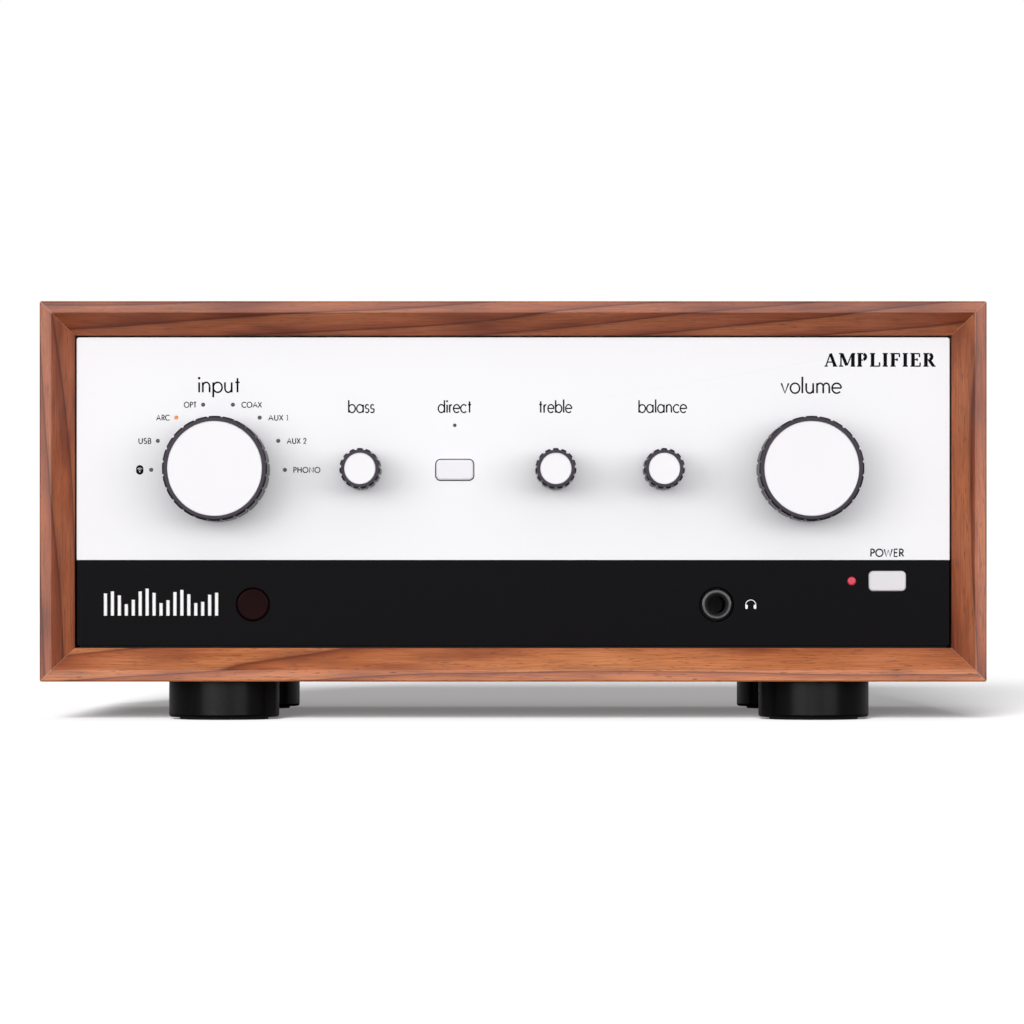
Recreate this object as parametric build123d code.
from build123d import *
from math import cos, pi, radians, sin, sqrt, tan
import os

# Integrated amplifier: a steel chassis with a two-tone face, slid into a mitred walnut sleeve on
# four turned feet. +X is to the right of someone facing it, +Y goes to the back, +Z is up.
# The origin is at the middle of the whole object's box, on the surface that it stands on.
# All sizes are in millimetres.

# ---- walnut sleeve ----
CABINET_WIDTH = 326.0
CABINET_HEIGHT = 131.0
CABINET_DEPTH = 240.0
BOARD = 11.5                # thickness of each of the four boards
FRONT_LAND = 4.0            # flat band round the front, outside the bevel
GLUE_GAP = 0.08             # glue line in each mitre
OUTER_ROUND = 0.7
ARRIS_ROUND = 0.35
VENT_WIDTH = 3.2
VENT_LENGTH = 62.0
VENT_PITCH = 8.0
VENT_COUNT = 14

# ---- feet ----
FOOT_DIAMETER = 38.5
FOOT_HEIGHT = 12.7
FOOT_SPACING = 206.0        # across, between centres
FOOT_SHIFT = 2.0            # the four feet sit this far right of the sleeve's middle
FOOT_INSET = 29.5           # from the sleeve's front and back edges to the centres
PAD_OUTER = 31.0
PAD_INNER = 13.0
PAD_THICKNESS = 2.2
PAD_PROUD = 0.8
FOOT_SCREW = 4.0

# ---- face ----
FACE_RECESS = 8.0           # front of the sleeve to the face
FACE_GAP = 0.6              # between the face and the sleeve
FACE_PLATE = 3.0
FACE_CORNER = 1.0
FACE_CHAMFER = 0.25
LOWER_FACE = 29.8           # height of the black lower plate
SEAM = 0.12
SUBPANEL = 1.5

# ---- controls, as shares of the face's width and of the white plate's height ----
INPUT_AT = -0.338
BASS_AT = -0.1736
DIRECT_AT = -0.0669
TREBLE_AT = 0.0484
BALANCE_AT = 0.1713
VOLUME_AT = 0.338
POWER_AT = 0.4284
POWER_LIGHT_AT = 0.3877
PHONES_AT = 0.233
SENSOR_AT = -0.2982
CONTROL_HEIGHT = 0.405
SOCKET_HEIGHT = 0.485       # headphone socket and sensor, as a share of the black plate's height
POWER_HEIGHT = 0.757        # power button and its light, as a share of the black plate's height

# ---- knobs ----
BIG_KNOB = 36.0
BIG_REACH = 22.4            # face to the knob's front
BIG_FLUTES = 24
SMALL_KNOB = 14.0
SMALL_REACH = 22.0
SMALL_FLUTES = 15
KNOB_GAP = 1.0              # knob's back to the face
BIG_RIM = 1.75
SMALL_RIM = 1.6
CAP_THICKNESS = 1.6
CAP_SUNK = 0.3
CAP_ROUND = 0.25
SPINDLE = 6.0
RUNNING = 0.05              # radial clearance of a turning shaft
SEATED = 0.03               # radial clearance of a part that is pressed or glued in place
LOOSE = 0.25                # radial clearance of a part that passes through a plate
BUSHING = 9.0
NUT_ACROSS = 12.0
NUT_THICKNESS = 2.2
BUSHING_PROUD = 2.8
KNOB_POCKET = 22.0
VOLUME_CASE = 27.0
VOLUME_LENGTH = 52.0        # subpanel to the end of the motor

# ---- buttons and lights ----
BUTTON_WIDTH = 12.9
BUTTON_HEIGHT = 7.0
BUTTON_CORNER = 1.6
BUTTON_GAP = 0.35
BUTTON_PROUD = 1.1
BUTTON_TRAVEL = 1.2
STEM_WIDTH = 8.0
STEM_HEIGHT = 4.0
PIN = 3.0                   # the round end of a button's stem, inside its switch
LIGHT = 1.4
LIGHT_RING = 23.1           # radius of the ring of source lights round the input knob
LIGHT_COUNT = 8
LIT_LIGHT = 2               # counted clockwise from the left
DIRECT_LIGHT = 1.2
DIRECT_LIGHT_UP = 15.4      # above the direct button
POWER_LIGHT = 3.0
SENSOR = 11.0

# ---- headphone socket ----
PHONES_BORE = 6.4
PHONES_BUSHING = 8.4
PHONES_RING = 10.4
PHONES_HOLE = 11.2
PHONES_DEPTH = 30.0
PHONES_CASE = 14.0

# ---- chassis ----
SHEET = 1.2
LID = 1.0
CHASSIS_SIDE_GAP = 1.5      # to each side board
LID_GAP = 3.0               # to the top board
FLANGE = 10.0
FRONT_FLANGE = 6.5
REAR_SHEET = 1.5
REAR_RECESS = 4.0           # sleeve's back edge to the rear panel
SCREW_HEAD = 5.6
SCREW_SHANK = 3.0
SCREW_LENGTH = 6.0

# ---- boards and what they carry ----
CIRCUIT = 1.6               # thickness of a circuit board
CONTROL_BOARD_BACK = 11.5   # subpanel to the control board
STANDOFF_HEIGHT = 10.0
STANDOFF = 6.0
TRANSFORMER = 112.0
TRANSFORMER_HEIGHT = 46.0
TRANSFORMER_HOLE = 30.0
TRANSFORMER_MARGIN = 6.0
CLAMP = 78.0
BOLT = 6.0
SINK_WIDTH = 34.0
SINK_LENGTH = 118.0
SINK_FINS = 13
SINK_FIN = 2.0
SINK_WALL = 6.0
SINK_GAP = 9.0              # to the transformer
SINK_HEADROOM = 8.0         # to the lid
TRANSISTOR = (16.0, 20.0, 5.0)
CAN = 25.0
CAN_HEIGHT = 42.0
CAN_PITCH = 30.0
CAN_GAP = 8.8               # to the end of the volume control

# ---- rear sockets ----
SOCKET_PITCH = 20.0
SOCKET_ROW = 18.0
SOCKET_SHELL = 8.3
SOCKET_WALL = 0.65
SOCKET_COLLAR = 12.0
SOCKET_REACH = 10.5
SOCKET_BOSS = 10.0
SOCKET_PIN_HOLE = 3.2
SHELL_WALL = 0.4
HDMI = (15.0, 5.6)
USB = (12.0, 11.0)
OPTICAL = (10.0, 10.0)
SOCKET_BOARD_IN = 13.4      # rear panel's outer face to the socket board
POST_PITCH = 19.05
POST_ROW = 32.0
POST_PLATE = 3.0
POST_BOSS = 8.0
POST_STUD = 6.0
POST_WASHER = 1.2
POST_CAP = 14.0
POST_FLUTES = 12
POST_REACH = 24.0           # rear panel's outer face to the cap's end
BANANA_BORE = 4.0
BANANA_DEPTH = 13.0
WIRE_HOLE = 3.0
MAINS_WIDTH = 30.0
MAINS_HEIGHT = 68.0
MAINS_FLANGE = 2.2
MAINS_DEPTH = 30.0
INLET = (24.6, 16.6)
INLET_DEEP = 15.0
ROCKER_WIDTH = 19.0
ROCKER_ROUND = 7.0          # radius of the rocker's ends about its pivot
ROCKER_DEEP = 3.0           # flange's face to the pivot
ROCKER_GAP = 0.4
ROCKER_PIN = 2.4
ROCKER_TILT = 8.0

# ---- places that follow from the sizes ----
FRONT = -(POST_REACH - REAR_RECESS + CABINET_DEPTH + BIG_REACH - FACE_RECESS) / 2 + BIG_REACH - FACE_RECESS
BACK = FRONT + CABINET_DEPTH
FOOT_TOP = FOOT_HEIGHT + PAD_PROUD
FLOOR = FOOT_TOP + BOARD                    # top of the bottom board
TOP = FOOT_TOP + CABINET_HEIGHT
HALF = CABINET_WIDTH / 2
INSIDE = HALF - BOARD
CEILING = TOP - BOARD
FACE_Y = FRONT + FACE_RECESS
FACE_BACK = FACE_Y + FACE_PLATE
FACE_WIDTH = 2 * (INSIDE - FACE_GAP)
FACE_LOW = FLOOR + FACE_GAP
FACE_HIGH = CEILING - FACE_GAP
SEAM_Z = FACE_LOW + LOWER_FACE
UPPER_FACE = FACE_HIGH - SEAM_Z
CONTROL_Z = SEAM_Z + CONTROL_HEIGHT * UPPER_FACE
SOCKET_Z = FACE_LOW + SOCKET_HEIGHT * LOWER_FACE
POWER_Z = FACE_LOW + POWER_HEIGHT * LOWER_FACE
CHASSIS_HALF = INSIDE - CHASSIS_SIDE_GAP
CHASSIS_TOP = CEILING - LID_GAP
SUB_BACK = FACE_BACK + SUBPANEL
REAR_OUT = BACK - REAR_RECESS
REAR_IN = REAR_OUT - REAR_SHEET
BASE_TOP = FLOOR + SHEET
LID_LOW = CHASSIS_TOP - LID
BOARD_FRONT = SUB_BACK + CONTROL_BOARD_BACK  # front of the control board
BOARD_BACK = BOARD_FRONT + CIRCUIT
VOLUME_END = SUB_BACK + VOLUME_LENGTH
STATIONS = {
    "input": INPUT_AT * FACE_WIDTH,
    "bass": BASS_AT * FACE_WIDTH,
    "treble": TREBLE_AT * FACE_WIDTH,
    "balance": BALANCE_AT * FACE_WIDTH,
    "volume": VOLUME_AT * FACE_WIDTH,
}
DIRECT_X = DIRECT_AT * FACE_WIDTH
POWER_X = POWER_AT * FACE_WIDTH
POWER_LIGHT_X = POWER_LIGHT_AT * FACE_WIDTH
PHONES_X = PHONES_AT * FACE_WIDTH
SENSOR_X = SENSOR_AT * FACE_WIDTH
TRANSFORMER_X = -(CHASSIS_HALF - SHEET - TRANSFORMER_MARGIN - TRANSFORMER / 2)
TRANSFORMER_Y = (BOARD_BACK + REAR_OUT - MAINS_DEPTH) / 2
SINK_X = TRANSFORMER_X + TRANSFORMER / 2 + SINK_GAP
SINK_BACK_X = SINK_X + SINK_WIDTH
SINK_TOP = LID_LOW - SINK_HEADROOM
DECK = BASE_TOP + STANDOFF_HEIGHT            # underside of the amplifier board
DECK_TOP = DECK + CIRCUIT
DECK_RIGHT = CHASSIS_HALF - SHEET - 6.0
SOCKET_BOARD_Y = REAR_OUT - SOCKET_BOARD_IN
SOCKET_X = [CHASSIS_HALF - 28.0 - SOCKET_PITCH * i for i in range(4)]
SOCKET_TOP_Z = CHASSIS_TOP - 21.0
SOCKET_LOW_Z = SOCKET_TOP_Z - SOCKET_ROW
DIGITAL_Z = FLOOR + 26.0
HDMI_X = CHASSIS_HALF - 36.0
USB_X = CHASSIS_HALF - 62.0
OPTICAL_X = CHASSIS_HALF - 84.0
COAXIAL_X = CHASSIS_HALF - 106.0
MAINS_X = -(CHASSIS_HALF - 25.0)
MAINS_Z = FLOOR + 46.0
INLET_Z = MAINS_Z - 18.0
DRAWER_Z = MAINS_Z + 4.5
ROCKER_Z = MAINS_Z + 21.0
POST_X = MAINS_X + 61.0                      # column of the negative posts
POST_LOW_Z = FLOOR + 34.0
PARTS = {}
FASTENERS = []


# ---- helpers ----
def block(x, y, z):
    """A box between two places along each axis."""
    size = [high - low for low, high in (x, y, z)]
    middle = [(high + low) / 2 for low, high in (x, y, z)]
    return Pos(*middle) * Box(*size)


def slab(middle_x, middle_z, width, height, corner, y):
    """A plate that faces the front, with rounded corners."""
    face = RectangleRounded(width, height, corner)
    return Pos(middle_x, y[1], middle_z) * Rot(90, 0, 0) * extrude(face, y[1] - y[0])


def rod(x, z, diameter, y):
    """A cylinder along Y."""
    return Pos(x, (y[0] + y[1]) / 2, z) * Rot(90, 0, 0) * Cylinder(diameter / 2, y[1] - y[0])


def post(x, y, diameter, z):
    """A cylinder along Z."""
    return Pos(x, y, (z[0] + z[1]) / 2) * Cylinder(diameter / 2, z[1] - z[0])


def hexagon(x, z, across, y):
    """A six-sided nut or head along Y."""
    outline = RegularPolygon(across / sqrt(3), 6)
    return Pos(x, y[1], z) * Rot(90, 0, 0) * extrude(outline, y[1] - y[0])


def turned(x, z, outline):
    """A body of revolution about a Y axis, from an outline of (radius, y) points."""
    face = make_face(Polyline(*[(radius, y) for radius, y in outline], close=True))
    return Pos(x, 0, z) * revolve(face, Axis.Y)


def edges_at(shape, axis, place):
    """The edges of a shape that lie whole in one plane."""
    return shape.edges().filter_by_position(axis, place - 1e-4, place + 1e-4)


def keep(name, *solids):
    """Files a sub-part under its name."""
    flat = [solid for piece in solids for solid in piece.solids()]
    PARTS[name] = flat[0] if len(flat) == 1 else Compound(flat)


# ---- walnut sleeve ----
def vent_places():
    """Middles of the vent slots, above and below the heat sink and the amplifier board."""
    first = SINK_X + 4.0
    middle_y = (FRONT + BACK) / 2 + 14.0
    return [(first + VENT_PITCH * i, middle_y) for i in range(VENT_COUNT)]


def vents(z):
    """The row of slots as solids to cut with."""
    slot = Rot(0, 0, 90) * extrude(SlotOverall(VENT_LENGTH, VENT_WIDTH), z[1] - z[0])
    return [Pos(x, y, z[0]) * slot for x, y in vent_places()]


def sleeve():
    """The four boards as one tube, with the bevelled and eased front."""
    body = block((-HALF, HALF), (FRONT, BACK), (FOOT_TOP, TOP))
    body = fillet(body.edges().filter_by(Axis.Y), OUTER_ROUND)
    body = fillet(edges_at(body, Axis.Y, FRONT), OUTER_ROUND)
    body = chamfer(edges_at(body, Axis.Y, BACK), ARRIS_ROUND)
    body -= block((-INSIDE, INSIDE), (FRONT - 1, BACK + 1), (FLOOR, CEILING))
    bevel = BOARD - FRONT_LAND
    body = chamfer(front_loop(body, BOARD), bevel)
    body = fillet(front_loop(body, FRONT_LAND), ARRIS_ROUND)
    return fillet(edges_at(body, Axis.Y, FRONT + bevel), ARRIS_ROUND)


def front_loop(body, inset):
    """The edges on the sleeve's front face that run round at a given distance from its outside."""
    def on_loop(edge):
        middle = edge.center()
        across = abs(abs(middle.X) - (HALF - inset)) < 1e-3
        down = abs(abs(middle.Z - (FOOT_TOP + TOP) / 2) - (CABINET_HEIGHT / 2 - inset)) < 1e-3
        return across or down
    return edges_at(body, Axis.Y, FRONT).filter_by(on_loop)


def board_outline(side):
    """The region of the sleeve that one board takes, between its two mitres."""
    left, right = -HALF - 1, HALF + 1
    low, high = FOOT_TOP - 1, TOP + 1
    depth = BOARD + 1
    gap = GLUE_GAP / 2 * sqrt(2)
    corners = {
        "top": [(left + gap, high), (right - gap, high), (right - depth - gap, high - depth),
                (left + depth + gap, high - depth)],
        "bottom": [(left + gap, low), (right - gap, low), (right - depth - gap, low + depth),
                   (left + depth + gap, low + depth)],
        "left": [(left, low + gap), (left, high - gap), (left + depth, high - depth - gap),
                 (left + depth, low + depth + gap)],
        "right": [(right, low + gap), (right, high - gap), (right - depth, high - depth - gap),
                  (right - depth, low + depth + gap)],
    }
    outline = make_face(Polyline(*corners[side], close=True))
    return Pos(0, BACK + 1, 0) * Rot(90, 0, 0) * extrude(outline, CABINET_DEPTH + 2)


def foot_places():
    """Middles of the four feet."""
    across = (FOOT_SHIFT - FOOT_SPACING / 2, FOOT_SHIFT + FOOT_SPACING / 2)
    return [(x, y) for y in (FRONT + FOOT_INSET, BACK - FOOT_INSET) for x in across]


def make_cabinet():
    whole = sleeve()
    boards = {side: whole & board_outline(side) for side in ("top", "bottom", "left", "right")}
    for slot in vents((CEILING - 1, TOP + 1)):
        boards["top"] -= slot
    for slot in vents((FOOT_TOP - 1, FLOOR + 1)):
        boards["bottom"] -= slot
    for x, y in foot_places():
        boards["bottom"] -= post(x, y, FOOT_SCREW + 2 * LOOSE, (FOOT_TOP - 1, FLOOR + 1))
    keep("cabinet_top", boards["top"])
    keep("cabinet_bottom", boards["bottom"])
    keep("cabinet_left_side", boards["left"])
    keep("cabinet_right_side", boards["right"])


# ---- feet ----
def make_feet():
    cups, pads = [], []
    head = FOOT_SCREW * 2
    sunk = 5.0
    for x, y in foot_places():
        cup = post(x, y, FOOT_DIAMETER, (PAD_PROUD, FOOT_TOP))
        cup = fillet(edges_at(cup, Axis.Z, PAD_PROUD), 1.0)
        cup = chamfer(edges_at(cup, Axis.Z, FOOT_TOP), 0.3)
        groove = post(x, y, PAD_OUTER + 2 * SEATED, (0, PAD_THICKNESS))
        groove -= post(x, y, PAD_INNER - 2 * SEATED, (0, PAD_THICKNESS))
        cup -= groove
        cup -= post(x, y, head + 1, (0, PAD_PROUD + sunk))
        cup -= post(x, y, FOOT_SCREW + 2 * LOOSE, (0, FOOT_TOP + 1))
        cups.append(cup)
        pad = post(x, y, PAD_OUTER, (0, PAD_THICKNESS)) - post(x, y, PAD_INNER, (-1, PAD_THICKNESS + 1))
        pads.append(fillet(edges_at(pad, Axis.Z, 0), 0.3))
        seat = PAD_PROUD + sunk
        screw = post(x, y, head, (seat - FOOT_SCREW * 0.7, seat))
        screw = fillet(edges_at(screw, Axis.Z, seat - FOOT_SCREW * 0.7), 0.8)
        screw += post(x, y, FOOT_SCREW, (seat, BASE_TOP + 4.0))
        recess = extrude(RegularPolygon(1.4, 6), 1.5)
        FASTENERS.append(screw - Pos(x, y, seat - FOOT_SCREW * 0.7) * recess)
    keep("feet", *cups)
    keep("foot_pads", *pads)


# ---- face ----
def light_places():
    """The source lights stand on the upper half of a ring round the input knob."""
    step = pi / (LIGHT_COUNT - 1)
    return [(STATIONS["input"] - LIGHT_RING * cos(step * i), CONTROL_Z + LIGHT_RING * sin(step * i))
            for i in range(LIGHT_COUNT)]


def button_hole(x, z, y):
    """The opening in a face plate for a button's cap."""
    return slab(x, z, BUTTON_WIDTH + 2 * BUTTON_GAP, BUTTON_HEIGHT + 2 * BUTTON_GAP,
                BUTTON_CORNER + BUTTON_GAP, y)


def make_face_plates():
    through = (FACE_Y - 1, FACE_BACK + 1)
    middle_z = (FACE_LOW + FACE_HIGH) / 2
    whole = slab(0, middle_z, FACE_WIDTH, FACE_HIGH - FACE_LOW, FACE_CORNER, (FACE_Y, FACE_BACK))
    whole = chamfer(edges_at(whole, Axis.Y, FACE_Y), FACE_CHAMFER)
    wide = (-HALF, HALF)
    upper = whole - block(wide, through, (FACE_LOW - 1, SEAM_Z + SEAM / 2))
    lower = whole - block(wide, through, (SEAM_Z - SEAM / 2, FACE_HIGH + 1))
    for name in ("input", "volume"):
        upper -= rod(STATIONS[name], CONTROL_Z, BUSHING + 2 * LOOSE, through)
    for name in ("bass", "treble", "balance"):
        upper -= rod(STATIONS[name], CONTROL_Z, SPINDLE + 4 * LOOSE, through)
    for x, z in light_places():
        upper -= rod(x, z, LIGHT + 2 * SEATED, through)
    upper -= rod(DIRECT_X, CONTROL_Z + DIRECT_LIGHT_UP, DIRECT_LIGHT + 2 * SEATED, through)
    upper -= button_hole(DIRECT_X, CONTROL_Z, through)
    lower -= button_hole(POWER_X, POWER_Z, through)
    lower -= rod(POWER_LIGHT_X, POWER_Z, POWER_LIGHT + 2 * SEATED, through)
    for x, hole in ((SENSOR_X, SENSOR + 2 * SEATED), (PHONES_X, PHONES_HOLE)):
        lower -= turned(x, SOCKET_Z, [(0, FACE_Y - 1), (hole / 2 + 0.45, FACE_Y - 1),
                                      (hole / 2 + 0.45, FACE_Y), (hole / 2, FACE_Y + 0.45),
                                      (hole / 2, FACE_BACK + 1), (0, FACE_BACK + 1)])
    keep("upper_faceplate", upper)
    keep("lower_faceplate", lower)


def make_subpanel():
    through = (FACE_BACK - 1, SUB_BACK + 1)
    plate = block((-CHASSIS_HALF, CHASSIS_HALF), (FACE_BACK, SUB_BACK), (FLOOR, CHASSIS_TOP))
    for name in ("input", "volume"):
        plate -= rod(STATIONS[name], CONTROL_Z, BUSHING + 2 * LOOSE, through)
    for name in ("bass", "treble", "balance"):
        plate -= rod(STATIONS[name], CONTROL_Z, SPINDLE + 4 * LOOSE, through)
    for x, z in light_places():
        plate -= rod(x, z, LIGHT + 2 * LOOSE, through)
    plate -= rod(DIRECT_X, CONTROL_Z + DIRECT_LIGHT_UP, DIRECT_LIGHT + 2 * LOOSE, through)
    plate -= rod(POWER_LIGHT_X, POWER_Z, POWER_LIGHT + 2 * LOOSE, through)
    plate -= rod(SENSOR_X, SOCKET_Z, SENSOR - 2.0, through)
    plate -= rod(PHONES_X, SOCKET_Z, PHONES_BUSHING + 2 * LOOSE, through)
    for x, z in ((DIRECT_X, CONTROL_Z), (POWER_X, POWER_Z)):
        plate -= slab(x, z, STEM_WIDTH + 4 * BUTTON_GAP, STEM_HEIGHT + 4 * BUTTON_GAP, 1.0, through)
    keep("front_subpanel", plate)


# ---- knobs ----
def knob(name, diameter, reach, rim, flutes, notch, pocket):
    """A fluted grip with a sunk disc in its front, on a spindle that runs back through the face."""
    x = STATIONS[name]
    front, back = FACE_Y - reach, FACE_Y - KNOB_GAP
    grip = rod(x, CONTROL_Z, diameter, (front, back))
    grip = fillet(edges_at(grip, Axis.Y, front), rim * 0.45)
    grip = chamfer(edges_at(grip, Axis.Y, back), 0.4)
    cap_radius = diameter / 2 - rim
    cap_front, cap_back = front + CAP_SUNK, front + CAP_SUNK + CAP_THICKNESS
    grip -= rod(x, CONTROL_Z, 2 * (cap_radius + SEATED), (front - 1, cap_back))
    radius = notch * 1.1
    for i in range(flutes):
        angle = 2 * pi * (i + 0.5) / flutes
        place = diameter / 2 + radius - notch
        flute = rod(x + place * sin(angle), CONTROL_Z + place * cos(angle), 2 * radius, (front - 1, back + 1))
        grip -= flute
    if pocket:
        grip -= rod(x, CONTROL_Z, pocket, (back - BUSHING_PROUD - 2.0, back + 1))
    spindle_front = cap_back + 3.0
    grip -= rod(x, CONTROL_Z, SPINDLE + 2 * SEATED, (spindle_front - 0.5, back + 1))
    spindle = rod(x, CONTROL_Z, SPINDLE, (spindle_front, BOARD_FRONT - 4.0))
    cap = rod(x, CONTROL_Z, 2 * cap_radius, (cap_front, cap_back))
    keep(name + "_knob", grip)
    keep(name + "_spindle", spindle)
    keep(name + "_knob_cap", fillet(edges_at(cap, Axis.Y, cap_front), CAP_ROUND))


def make_knobs():
    for name in ("input", "volume"):
        knob(name, BIG_KNOB, BIG_REACH, BIG_RIM, BIG_FLUTES, 0.45, KNOB_POCKET)
    for name in ("bass", "treble", "balance"):
        knob(name, SMALL_KNOB, SMALL_REACH, SMALL_RIM, SMALL_FLUTES, 0.6, 0)


def shaft_hole(x, back):
    """The bore that a spindle turns in, from the front of the knob to the given depth."""
    return rod(x, CONTROL_Z, SPINDLE + 2 * RUNNING, (FRONT, back))


def threaded_control(name, width, depth):
    """A control that hangs on its threaded bushing, with the nut that holds it to the face."""
    x = STATIONS[name]
    body = block((x - width / 2, x + width / 2), (SUB_BACK, SUB_BACK + depth),
                 (CONTROL_Z - width / 2, CONTROL_Z + width / 2))
    body += rod(x, CONTROL_Z, BUSHING, (FACE_Y - BUSHING_PROUD, SUB_BACK))
    body -= shaft_hole(x, BOARD_FRONT - 3.0)
    nut = hexagon(x, CONTROL_Z, NUT_ACROSS, (FACE_Y - NUT_THICKNESS, FACE_Y))
    nut -= rod(x, CONTROL_Z, BUSHING + 2 * SEATED, (FACE_Y - 10, FACE_Y + 1))
    return body, nut


def make_controls():
    body, volume_nut = threaded_control("volume", VOLUME_CASE, 24.0)
    x = STATIONS["volume"]
    motor = rod(x, CONTROL_Z, 20.0, (SUB_BACK + 24.0, VOLUME_END - 2.0))
    motor += rod(x, CONTROL_Z, 8.0, (VOLUME_END - 2.0, VOLUME_END))
    keep("volume_potentiometer", body, motor)
    body, input_nut = threaded_control("input", 14.0, CONTROL_BOARD_BACK)
    keep("input_encoder", body)
    FASTENERS.extend([volume_nut, input_nut])
    cases = []
    for name in ("bass", "treble", "balance"):
        x = STATIONS[name]
        case = block((x - 5.5, x + 5.5), (BOARD_FRONT - 9.0, BOARD_FRONT), (CONTROL_Z - 6.0, CONTROL_Z + 6.0))
        cases.append(case - shaft_hole(x, BOARD_FRONT - 3.0))
    keep("tone_potentiometers", *cases)


# ---- buttons and lights ----
def button(name, x, z):
    """A moulded cap with a stem through the subpanel, a catch behind it and a pin in the switch."""
    front = FACE_Y - BUTTON_PROUD
    shoulder = FACE_BACK - BUTTON_TRAVEL - 0.2
    cap = slab(x, z, BUTTON_WIDTH, BUTTON_HEIGHT, BUTTON_CORNER, (front, shoulder))
    cap = fillet(edges_at(cap, Axis.Y, front), 0.7)
    catch = SUB_BACK + 0.2
    stem = slab(x, z, STEM_WIDTH, STEM_HEIGHT, 0.6, (shoulder, catch))
    plate = slab(x, z, STEM_WIDTH + 3.0, STEM_HEIGHT + 3.0, 0.6, (catch, catch + 1.2))
    pin = rod(x, z, PIN, (catch + 1.2, BOARD_FRONT - 4.5))
    keep(name, cap + stem + plate + pin)


def make_buttons():
    places = ((DIRECT_X, CONTROL_Z), (POWER_X, POWER_Z))
    for name, (x, z) in zip(("direct_button", "power_button"), places):
        button(name, x, z)
    cases = []
    for x, z in places:
        case = block((x - 4.0, x + 4.0), (BOARD_FRONT - 6.0, BOARD_FRONT), (z - 4.0, z + 4.0))
        cases.append(case - rod(x, z, PIN + 2 * LOOSE, (BOARD_FRONT - 7.0, BOARD_FRONT - 2.5)))
    keep("push_switches", *cases)


def make_lights():
    sunk = 0.15
    pipes = [rod(x, z, LIGHT, (FACE_Y + sunk, BOARD_FRONT)) for x, z in light_places()]
    direct = rod(DIRECT_X, CONTROL_Z + DIRECT_LIGHT_UP, DIRECT_LIGHT, (FACE_Y + sunk, BOARD_FRONT))
    lit = pipes.pop(LIT_LIGHT)
    keep("source_lights", *pipes, direct)
    lens = rod(POWER_LIGHT_X, POWER_Z, POWER_LIGHT, (FACE_Y - 0.4, BOARD_FRONT))
    lens = fillet(edges_at(lens, Axis.Y, FACE_Y - 0.4), 0.6)
    keep("lit_source_light", lit)
    keep("power_light", lens)
    window = rod(SENSOR_X, SOCKET_Z, SENSOR, (FACE_Y + 0.3, FACE_BACK))
    window = fillet(edges_at(window, Axis.Y, FACE_Y + 0.3), 0.5)
    keep("remote_window", window)


def make_phones_socket():
    x, z = PHONES_X, SOCKET_Z
    front = FACE_Y - 0.4
    half = PHONES_CASE / 2
    body = block((x - half, x + half), (SUB_BACK, SUB_BACK + PHONES_DEPTH), (z - half, z + half))
    body += rod(x, z, PHONES_BUSHING, (front, SUB_BACK))
    bore = PHONES_BORE / 2
    mouth = 0.8
    body -= turned(x, z, [(0, front - 1), (bore + mouth, front - 1), (bore + mouth, front),
                          (bore, front + mouth), (bore, SUB_BACK + PHONES_DEPTH - 4.0),
                          (0, SUB_BACK + PHONES_DEPTH - 4.0)])
    keep("headphone_jack", body)
    ring = rod(x, z, PHONES_RING, (FACE_Y - 0.8, FACE_BACK))
    ring = fillet(edges_at(ring, Axis.Y, FACE_Y - 0.8), 0.45)
    ring -= rod(x, z, PHONES_BUSHING + 2 * SEATED, (FACE_Y - 2, FACE_BACK + 1))
    keep("headphone_ring", ring)


# ---- chassis ----
def standoff_places():
    """Under the amplifier board's corners."""
    across = (SINK_BACK_X + 8.0, DECK_RIGHT - 6.0)
    return [(x, y) for x in across for y in (BOARD_BACK + 28.0, SOCKET_BOARD_Y - 14.0)]


def make_tray():
    """One folded sheet: the floor, both sides with their lips, and a low flange at front and back."""
    wide = (-CHASSIS_HALF, CHASSIS_HALF)
    deep = (SUB_BACK, REAR_IN)
    tray = block(wide, deep, (FLOOR, LID_LOW))
    tray -= block((-CHASSIS_HALF + SHEET, CHASSIS_HALF - SHEET), (SUB_BACK - 1, REAR_IN + 1),
                  (BASE_TOP, LID_LOW + 1))
    for y, tall in (((SUB_BACK, SUB_BACK + SHEET), FRONT_FLANGE), ((REAR_IN - SHEET, REAR_IN), FLANGE)):
        tray += block((-CHASSIS_HALF + SHEET, CHASSIS_HALF - SHEET), y, (BASE_TOP, FLOOR + tall))
    for side in (-1, 1):
        lip = sorted((side * (CHASSIS_HALF - FLANGE), side * (CHASSIS_HALF - SHEET)))
        tray += block(lip, deep, (LID_LOW - SHEET, LID_LOW))
    for slot in vents((FLOOR - 1, BASE_TOP + 1)):
        tray -= slot
    for x, y in foot_places():
        tray += post(x, y, 8.0, (BASE_TOP, BASE_TOP + 4.0))
        tray -= post(x, y, FOOT_SCREW + 2 * SEATED, (FLOOR - 1, BASE_TOP + 5.0))
    for x, y in standoff_places():
        tray += post(x, y, STANDOFF, (BASE_TOP, DECK))
    tray += post(TRANSFORMER_X, TRANSFORMER_Y, 12.0, (BASE_TOP, BASE_TOP + 5.0))
    tray -= post(TRANSFORMER_X, TRANSFORMER_Y, BOLT + 2 * SEATED, (BASE_TOP, BASE_TOP + 6.0))
    for x, y in lid_screw_places():
        tray -= post(x, y, SCREW_SHANK + 2 * SEATED, (LID_LOW - 3, LID_LOW + 1))
    for x, z in rear_screw_places():
        tray -= rod(x, z, SCREW_SHANK + 2 * SEATED, (REAR_IN - SHEET - 1, REAR_IN + 1))
    keep("chassis_tray", tray)


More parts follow.
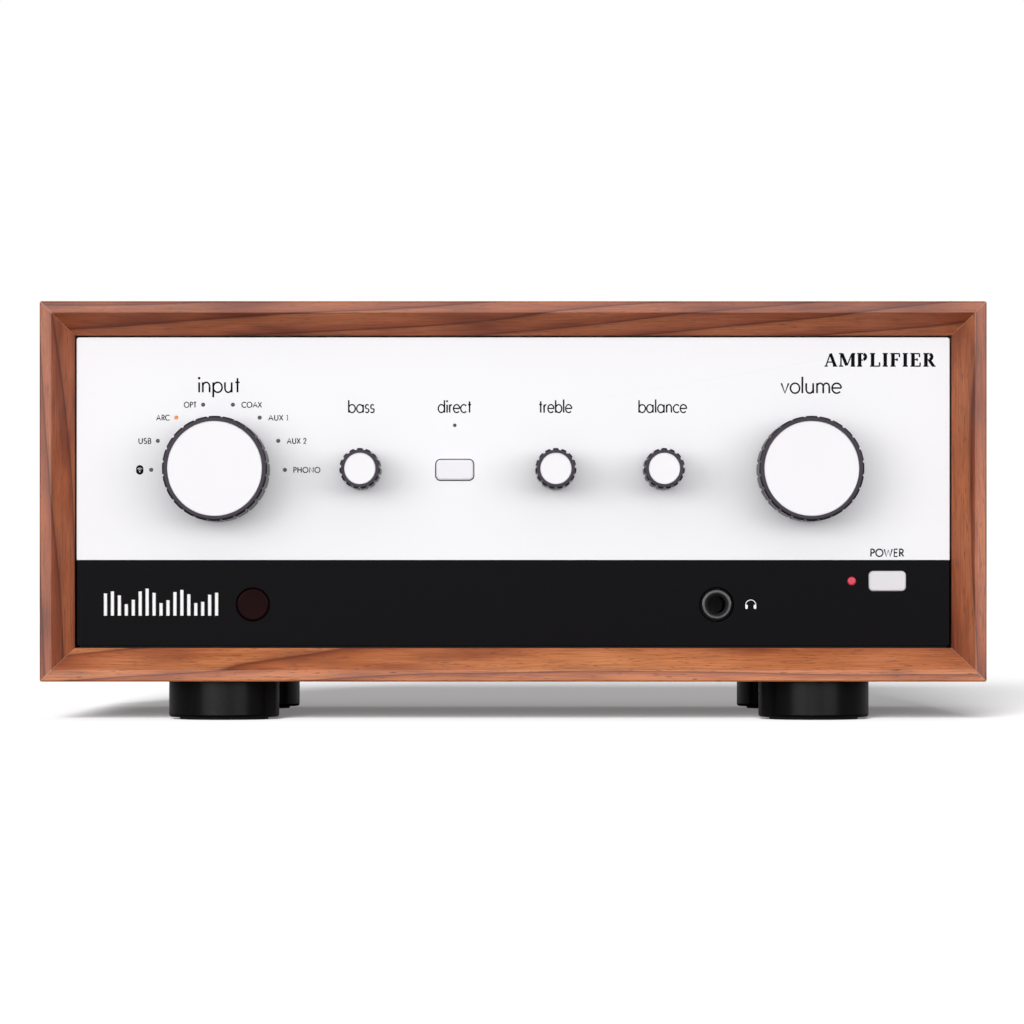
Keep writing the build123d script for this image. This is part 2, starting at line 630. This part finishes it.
def pan_screw(place, turn):
    """A round-headed screw that points down before it is turned."""
    screw = extrude(Circle(SCREW_HEAD / 2), 1.8)
    screw = fillet(edges_at(screw, Axis.Z, 1.8), 0.9)
    screw += extrude(Circle(SCREW_SHANK / 2), -SCREW_LENGTH)
    for angle in (0, 90):
        screw -= Pos(0, 0, 1.8) * Rot(0, 0, angle) * Box(3.0, 0.7, 1.6)
    return place * turn * screw


def make_lid_and_screws():
    lid = block((-CHASSIS_HALF, CHASSIS_HALF), (SUB_BACK, REAR_IN), (LID_LOW, CHASSIS_TOP))
    for slot in vents((LID_LOW - 1, CHASSIS_TOP + 1)):
        lid -= slot
    for x, y in lid_screw_places():
        lid -= post(x, y, SCREW_SHANK + 2 * SEATED, (LID_LOW - 1, CHASSIS_TOP + 1))
        FASTENERS.append(pan_screw(Pos(x, y, CHASSIS_TOP), Rot(0, 0, 0)))
    for x, z in rear_screw_places():
        FASTENERS.append(pan_screw(Pos(x, REAR_OUT, z), Rot(-90, 0, 0)))
    keep("chassis_lid", lid)


def lid_screw_places():
    """Along both side lips."""
    across = CHASSIS_HALF - FLANGE / 2
    along = [SUB_BACK + 12.0, (SUB_BACK + REAR_IN) / 2, REAR_IN - 12.0]
    return [(side * across, y) for side in (-1, 1) for y in along]


def rear_screw_places():
    """Along the rear panel's foot, into the tray's flange."""
    return [(share * (CHASSIS_HALF - 8.0), FLOOR + 6.0) for share in (-1, -0.33, 0.33, 1)]


def line_socket_places():
    """Two rows of round sockets, and the coaxial digital socket below them."""
    rows = [(x, z) for z in (SOCKET_LOW_Z, SOCKET_TOP_Z) for x in SOCKET_X]
    return rows + [(COAXIAL_X, DIGITAL_Z)]


def post_places():
    """Speaker posts, by name."""
    return {
        "right_negative": (POST_X, POST_LOW_Z),
        "right_positive": (POST_X + POST_PITCH, POST_LOW_Z),
        "left_negative": (POST_X, POST_LOW_Z + POST_ROW),
        "left_positive": (POST_X + POST_PITCH, POST_LOW_Z + POST_ROW),
    }


def make_rear_panel():
    through = (REAR_IN - 1, REAR_OUT + 1)
    panel = block((-CHASSIS_HALF, CHASSIS_HALF), (REAR_IN, REAR_OUT), (FLOOR, CHASSIS_TOP))
    for x, z in line_socket_places():
        panel -= rod(x, z, SOCKET_BOSS + 2 * LOOSE, through)
    for x, width, height in ((HDMI_X, *HDMI), (USB_X, *USB), (OPTICAL_X, *OPTICAL)):
        panel -= slab(x, DIGITAL_Z, width + 2 * LOOSE, height + 2 * LOOSE, 0.6, through)
    for x, z in post_places().values():
        panel -= rod(x, z, POST_BOSS + 2 * LOOSE, through)
    panel -= slab(MAINS_X, MAINS_Z, MAINS_WIDTH - 3.0 + 2 * LOOSE, MAINS_HEIGHT - 3.0 + 2 * LOOSE,
                  1.0, through)
    for x, z in rear_screw_places():
        panel -= rod(x, z, SCREW_SHANK + 2 * SEATED, through)
    keep("rear_panel", panel)


# ---- boards, transformer, heat sink ----
def make_control_board():
    """The upright board behind the face, with the remote receiver and two plug-in headers."""
    y = (BOARD_FRONT, BOARD_BACK)
    board = block((-CHASSIS_HALF + 8.0, CHASSIS_HALF - 8.0), y, (FLOOR + 6.0, CHASSIS_TOP - 8.0))
    for x, z, half in ((STATIONS["volume"], CONTROL_Z, VOLUME_CASE / 2), (PHONES_X, SOCKET_Z, PHONES_CASE / 2)):
        board -= block((x - half - 0.5, x + half + 0.5), (y[0] - 1, y[1] + 1), (z - half - 0.5, z + half + 0.5))
    receiver = block((SENSOR_X - 3.0, SENSOR_X + 3.0), (BOARD_FRONT - 5.0, BOARD_FRONT),
                     (SOCKET_Z - 3.5, SOCKET_Z + 3.5))
    headers = [block((x - 12.0, x + 12.0), (BOARD_BACK, BOARD_BACK + 8.0), (FLOOR + 14.0, FLOOR + 20.0))
               for x in (SENSOR_X, DIRECT_X + 40.0)]
    keep("control_board", board, receiver, *headers)


def make_amplifier_boards():
    """The level board beside the heat sink, with its larger parts, and the riser behind the rear sockets."""
    left = SINK_BACK_X + 0.5
    front, back = BOARD_BACK + 20.0, SOCKET_BOARD_Y - 4.0
    board = block((left, DECK_RIGHT), (front, back), (DECK, DECK_TOP))
    relay = block((left + 70.0, left + 90.0), (back - 22.0, back - 6.0), (DECK_TOP, DECK_TOP + 18.0))
    chip = block((left + 74.0, left + 88.0), (front + 6.0, front + 20.0), (DECK_TOP, DECK_TOP + 2.0))
    coils = [post(left + 30.0, back - 12.0 - 22.0 * i, 14.0, (DECK_TOP, DECK_TOP + 10.0)) for i in range(2)]
    riser_y = (SOCKET_BOARD_Y - CIRCUIT, SOCKET_BOARD_Y)
    riser = block((COAXIAL_X - 9.0, SOCKET_X[0] + 12.0), riser_y, (DECK_TOP + 2.0, SOCKET_TOP_Z + 10.0))
    keep("amplifier_boards", board, relay, chip, *coils, riser)


def make_transformer():
    low, high = BASE_TOP, BASE_TOP + TRANSFORMER_HEIGHT
    ring = post(TRANSFORMER_X, TRANSFORMER_Y, TRANSFORMER, (low, high))
    ring -= post(TRANSFORMER_X, TRANSFORMER_Y, TRANSFORMER_HOLE, (low - 1, high + 1))
    ring = fillet(edges_at(ring, Axis.Z, low) + edges_at(ring, Axis.Z, high), 8.0)
    keep("transformer", ring)
    plate = post(TRANSFORMER_X, TRANSFORMER_Y, CLAMP, (high, high + 2.0))
    plate = fillet(edges_at(plate, Axis.Z, high + 2.0), 1.0)
    plate -= post(TRANSFORMER_X, TRANSFORMER_Y, BOLT + 2 * LOOSE, (high - 1, high + 3.0))
    bolt = post(TRANSFORMER_X, TRANSFORMER_Y, BOLT, (BASE_TOP + 0.5, high + 2.0))
    head = Pos(TRANSFORMER_X, TRANSFORMER_Y, high + 2.0) * extrude(RegularPolygon(BOLT, 6), BOLT * 0.7)
    keep("transformer_clamp", plate, bolt + head)


def make_heat_sink():
    """A wall with fins towards the transformer, and the power transistors on its plain side."""
    middle_y = TRANSFORMER_Y
    along = (middle_y - SINK_LENGTH / 2, middle_y + SINK_LENGTH / 2)
    sink = block((SINK_BACK_X - SINK_WALL, SINK_BACK_X), along, (BASE_TOP, SINK_TOP))
    pitch = (SINK_LENGTH - SINK_FIN) / (SINK_FINS - 1)
    for i in range(SINK_FINS):
        y = along[0] + pitch * i
        sink += block((SINK_X, SINK_BACK_X - SINK_WALL), (y, y + SINK_FIN), (BASE_TOP, SINK_TOP))
    keep("heat_sink", sink)
    width, height, thickness = TRANSISTOR
    transistors = []
    for i in range(4):
        y = middle_y + (i - 1.5) * 27.0
        low = DECK_TOP + 6.0
        body = block((SINK_BACK_X, SINK_BACK_X + thickness), (y - width / 2, y + width / 2), (low, low + height))
        for leg in (-1, 0, 1):
            place = y + leg * 5.4
            body += block((SINK_BACK_X + 1.5, SINK_BACK_X + 2.1), (place - 0.5, place + 0.5), (DECK_TOP, low))
        transistors.append(body)
    keep("output_transistors", *transistors)


def make_capacitors():
    cans = []
    for i in range(2):
        for j in range(2):
            x = SINK_BACK_X + 45.0 + CAN_PITCH * i
            y = VOLUME_END + CAN_GAP + CAN / 2 + CAN_PITCH * j
            can = post(x, y, CAN, (DECK_TOP, DECK_TOP + CAN_HEIGHT))
            cans.append(fillet(edges_at(can, Axis.Z, DECK_TOP + CAN_HEIGHT), 1.5))
    keep("reservoir_capacitors", *cans)


# ---- rear sockets ----
def shell(x, z, width, height, y):
    """A drawn metal shell with a thin wall."""
    outside = slab(x, z, width, height, 0.6, y)
    return outside - slab(x, z, width - 2 * SHELL_WALL, height - 2 * SHELL_WALL, 0.3, (y[0] - 1, y[1] + 1))


def make_sockets():
    metal, mouldings = [], []
    inside = SOCKET_SHELL / 2 - SOCKET_WALL
    board = SOCKET_BOARD_Y
    for x, z in line_socket_places():
        metal.append(turned(x, z, [(inside, REAR_OUT), (SOCKET_COLLAR / 2, REAR_OUT),
                                   (SOCKET_COLLAR / 2, REAR_OUT + 1.0), (SOCKET_SHELL / 2, REAR_OUT + 1.0),
                                   (SOCKET_SHELL / 2, REAR_OUT + SOCKET_REACH),
                                   (inside, REAR_OUT + SOCKET_REACH)]))
        insert = rod(x, z, 2 * (inside - SEATED), (REAR_OUT, REAR_OUT + SOCKET_REACH - 1.2))
        insert += rod(x, z, SOCKET_BOSS, (REAR_IN, REAR_OUT))
        insert += slab(x, z, SOCKET_BOSS + 2.0, SOCKET_BOSS + 2.0, 1.0, (board, REAR_IN))
        mouldings.append(insert - rod(x, z, SOCKET_PIN_HOLE, (board + 1.5, REAR_OUT + SOCKET_REACH)))
    for x, (width, height), proud in ((HDMI_X, HDMI, 0.5), (USB_X, USB, 0.8)):
        metal.append(shell(x, DIGITAL_Z, width, height, (board, REAR_OUT + proud)))
    gap = 2 * (SHELL_WALL + SEATED)
    tongue = slab(HDMI_X, DIGITAL_Z, HDMI[0] - gap, HDMI[1] - gap, 0.25, (board, REAR_IN - 5.0))
    tongue += block((HDMI_X - 5.5, HDMI_X + 5.5), (REAR_IN - 5.0, REAR_OUT - 1.5), (DIGITAL_Z - 0.5, DIGITAL_Z + 0.7))
    mouldings.append(tongue)
    square = slab(USB_X, DIGITAL_Z, USB[0] - gap, USB[1] - gap, 0.25, (board, REAR_OUT + 0.4))
    square -= slab(USB_X, DIGITAL_Z, 8.5, 7.8, 0.8, (board + 2.5, REAR_OUT + 1.0))
    square += slab(USB_X, DIGITAL_Z, 5.6, 3.2, 0.3, (board + 2.5, REAR_OUT - 1.5))
    mouldings.append(square)
    window = slab(OPTICAL_X, DIGITAL_Z, *OPTICAL, 0.6, (board, REAR_OUT + 1.0))
    window -= slab(OPTICAL_X, DIGITAL_Z, 7.4, 7.4, 0.5, (REAR_OUT - 0.6, REAR_OUT + 2.0))
    mouldings.append(window)
    plate = slab(POST_X + POST_PITCH / 2, POST_LOW_Z + POST_ROW / 2, POST_PITCH + 22.0, POST_ROW + 24.0, 2.0,
                 (REAR_OUT, REAR_OUT + POST_PLATE))
    plate = fillet(edges_at(plate, Axis.Y, REAR_OUT + POST_PLATE), 0.6)
    for x, z in post_places().values():
        plate += rod(x, z, POST_BOSS, (REAR_IN, REAR_OUT))
        plate -= rod(x, z, POST_STUD + 2 * SEATED, (REAR_IN - 1, REAR_OUT + POST_PLATE + 1))
    mouldings.append(plate)
    for x, z, tall in ((-7.0, -2.0, 4.0), (7.0, -2.0, 4.0), (0, 2.0, 4.0)):
        metal.append(slab(MAINS_X + x, INLET_Z + z, 2.0, tall, 0.5, (REAR_OUT - INLET_DEEP, REAR_OUT - 4.5)))
    keep("socket_metalwork", *metal)
    keep("socket_mouldings", *mouldings)


def make_speaker_posts():
    """Hollow studs, each with a clamp washer and a screwed cap that a banana plug goes through."""
    studs = []
    washer_front = REAR_OUT + POST_PLATE + 0.1
    cap_front = washer_front + POST_WASHER + 0.1
    end = REAR_OUT + POST_REACH
    bore = POST_STUD + 2 * RUNNING
    for name, (x, z) in post_places().items():
        stud = rod(x, z, POST_STUD, (REAR_IN - 9.0, end - 1.5))
        stud -= rod(x, z, BANANA_BORE, (end - 1.5 - BANANA_DEPTH, end))
        stud -= Pos(x, cap_front + WIRE_HOLE / 2 + 0.2, z) * Cylinder(WIRE_HOLE / 2, 2 * POST_STUD)
        nut = hexagon(x, z, 10.0, (REAR_IN - 3.0, REAR_IN))
        nut -= rod(x, z, POST_STUD + 2 * SEATED, (REAR_IN - 4.0, REAR_IN + 1))
        studs += [stud, nut]
        washer = rod(x, z, 11.0, (washer_front, washer_front + POST_WASHER))
        washer -= rod(x, z, bore, (washer_front - 1, cap_front + 1))
        keep(name + "_washer", washer)
        cap = rod(x, z, POST_CAP, (cap_front, end))
        cap = fillet(edges_at(cap, Axis.Y, end), 1.2)
        for i in range(POST_FLUTES):
            angle = 2 * pi * i / POST_FLUTES
            place = POST_CAP / 2 + 0.5
            cap -= rod(x + place * cos(angle), z + place * sin(angle), 2.4, (cap_front + 2.0, end - 3.0))
        cap -= rod(x, z, bore, (cap_front - 1, end - 1.2))
        cap -= rod(x, z, BANANA_BORE + 0.8, (end - 2.0, end + 1))
        keep(name + "_cap", cap)
    keep("speaker_studs", *studs)


# ---- mains inlet and its rocker ----
def make_mains():
    face = REAR_OUT + MAINS_FLANGE
    inlet = slab(MAINS_X, MAINS_Z, MAINS_WIDTH, MAINS_HEIGHT, 2.0, (REAR_OUT, face))
    inlet = fillet(edges_at(inlet, Axis.Y, face), 0.6)
    inlet += slab(MAINS_X, MAINS_Z, MAINS_WIDTH - 3.0, MAINS_HEIGHT - 3.0, 1.0, (REAR_OUT - MAINS_DEPTH, REAR_OUT))
    inlet -= slab(MAINS_X, INLET_Z, *INLET, 3.0, (REAR_OUT - INLET_DEEP, face + 1))
    for z in (DRAWER_Z - 4.5, DRAWER_Z + 4.5):
        inlet -= block((MAINS_X - 11.0, MAINS_X + 11.0), (face - 0.5, face + 1), (z - 0.3, z + 0.3))
    pivot_y = face - ROCKER_DEEP
    well = 2 * (ROCKER_ROUND + ROCKER_GAP)
    inlet -= slab(MAINS_X, ROCKER_Z, ROCKER_WIDTH + 2 * ROCKER_GAP, well, 0.5,
                  (pivot_y - ROCKER_ROUND - 1.0, face + 1))
    pin_length = ROCKER_WIDTH + 4.0
    inlet -= Pos(MAINS_X, pivot_y, ROCKER_Z) * Rot(0, 90, 0) * Cylinder(ROCKER_PIN / 2 + RUNNING, pin_length + 0.4)
    keep("mains_inlet", inlet)
    rise = ROCKER_DEEP + 0.6
    reach = ROCKER_ROUND
    tilt = tan(radians(ROCKER_TILT))
    outline = make_face(Polyline((-4.0, -reach), (rise + reach * tilt, -reach), (rise, 0),
                                 (rise + reach * tilt, reach), (-4.0, reach), close=True))
    rocker = extrude(Plane.YZ * outline, ROCKER_WIDTH / 2, both=True)
    rocker &= Rot(0, 90, 0) * Cylinder(ROCKER_ROUND, ROCKER_WIDTH + 2)
    rocker += Rot(0, 90, 0) * Cylinder(ROCKER_PIN / 2, pin_length)
    keep("mains_rocker", Pos(MAINS_X, pivot_y, ROCKER_Z) * Rot(ROCKER_TILT, 0, 0) * rocker)


# ---- everything, to files ----
make_cabinet()
make_feet()
make_face_plates()
make_subpanel()
make_knobs()
make_controls()
make_buttons()
make_lights()
make_phones_socket()
make_tray()
make_lid_and_screws()
make_rear_panel()
make_control_board()
make_amplifier_boards()
make_transformer()
make_heat_sink()
make_capacitors()
make_sockets()
make_speaker_posts()
make_mains()
keep("screws_and_nuts", *FASTENERS)

os.makedirs("parts", exist_ok=True)
for node, shape in PARTS.items():
    export_step(shape, f"parts/{node}.step")
